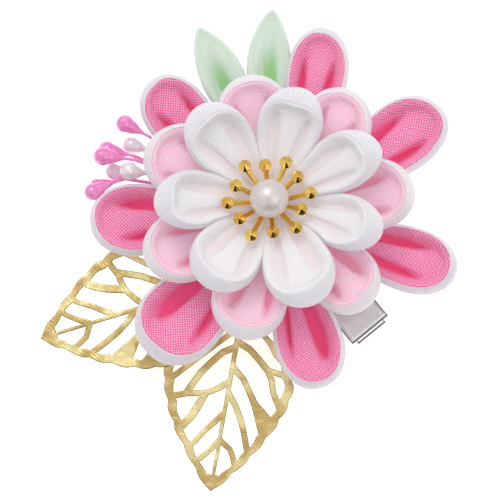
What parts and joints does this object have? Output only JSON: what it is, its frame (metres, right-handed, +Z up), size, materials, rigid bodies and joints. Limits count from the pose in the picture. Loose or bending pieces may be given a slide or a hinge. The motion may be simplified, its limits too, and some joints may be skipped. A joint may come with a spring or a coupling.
{
  "type": "hair clip",
  "caption": "Kanzashi hair clip: a flower of folded ribbon petals in tiers, with cloth leaves, pierced gold leaves, stemmed buds and a pearl in a gold stamen cap, on an alligator clip.",
  "frame": {"origin": "middle of the stretch between the upper plate and the tooth tips where the closed jaws grip the hair", "axes": "+Z up, out of the flower's face as it lies on its clip; +Y towards the green leaves; +X towards the side that the jaws point to"},
  "size_m": [0.088, 0.1002, 0.0291],
  "materials": {
    "white_cloth": "ribbed polyester ribbon, faint sheen",
    "blush_cloth": "ribbed ribbon, white outside and pale pink inside",
    "rose_cloth": "ribbed ribbon, white outside and hot pink inside",
    "leaf_cloth": "ribbed ribbon, pale mint outside and light green inside",
    "gold_sheet": "pale gold plate with fine hatching",
    "gold_cast": "bright polished gold plate",
    "pearl": "pearl coat on a bead",
    "pink_bead": "pink pearl lacquer, stem and head alike",
    "pearl_bead": "white pearl lacquer, stem and head alike",
    "felt": "white felt",
    "clip_steel": "nickel plate, soft polish",
    "spring_steel": "bright spring wire and pin"
  },
  "bodies": {
    "ornament": {"white_petal_1": "white_cloth", "white_petal_2": "white_cloth", "white_petal_3": "white_cloth", "white_petal_4": "white_cloth", "white_petal_5": "white_cloth", "white_petal_6": "white_cloth", "white_petal_7": "white_cloth", "blush_petal_1": "blush_cloth", "blush_petal_2": "blush_cloth", "blush_petal_3": "blush_cloth", "blush_petal_4": "blush_cloth", "blush_petal_5": "blush_cloth", "blush_petal_6": "blush_cloth", "blush_petal_7": "blush_cloth", "rose_petal_1": "rose_cloth", "rose_petal_2": "rose_cloth", "rose_petal_3": "rose_cloth", "rose_petal_4": "rose_cloth", "rose_petal_5": "rose_cloth", "rose_petal_6": "rose_cloth", "rose_petal_7": "rose_cloth", "green_leaf_1": "leaf_cloth", "green_leaf_2": "leaf_cloth", "pearl_bud_1": "pearl_bead", "pink_bud_2": "pink_bead", "pearl_bud_3": "pearl_bead", "pink_bud_4": "pink_bead", "pink_bud_5": "pink_bead", "pink_bud_6": "pink_bead", "pearl_bud_7": "pearl_bead", "pink_bud_8": "pink_bead", "gold_leaf_left": "gold_sheet", "gold_leaf_bottom": "gold_sheet", "pearl": "pearl", "stamen_cap": "gold_cast", "felt_base": "felt", "clip_plate": "clip_steel", "clip_pin": "spring_steel", "clip_spring": "spring_steel"},
    "lever": {"clip_jaw": "clip_steel", "clip_spring_leg": "spring_steel"}
  },
  "joints": [
    {"name": "clip_hinge", "type": "hinge", "parent": "ornament", "child": "lever", "pos_m": [-0.01164, 0.01438, -0.0004], "axis": [0.7771, 0.6293, 0], "range_deg": [0, 20], "stiffness_Nm_per_rad": 0.04, "springref_deg": -114.59}
  ]
}
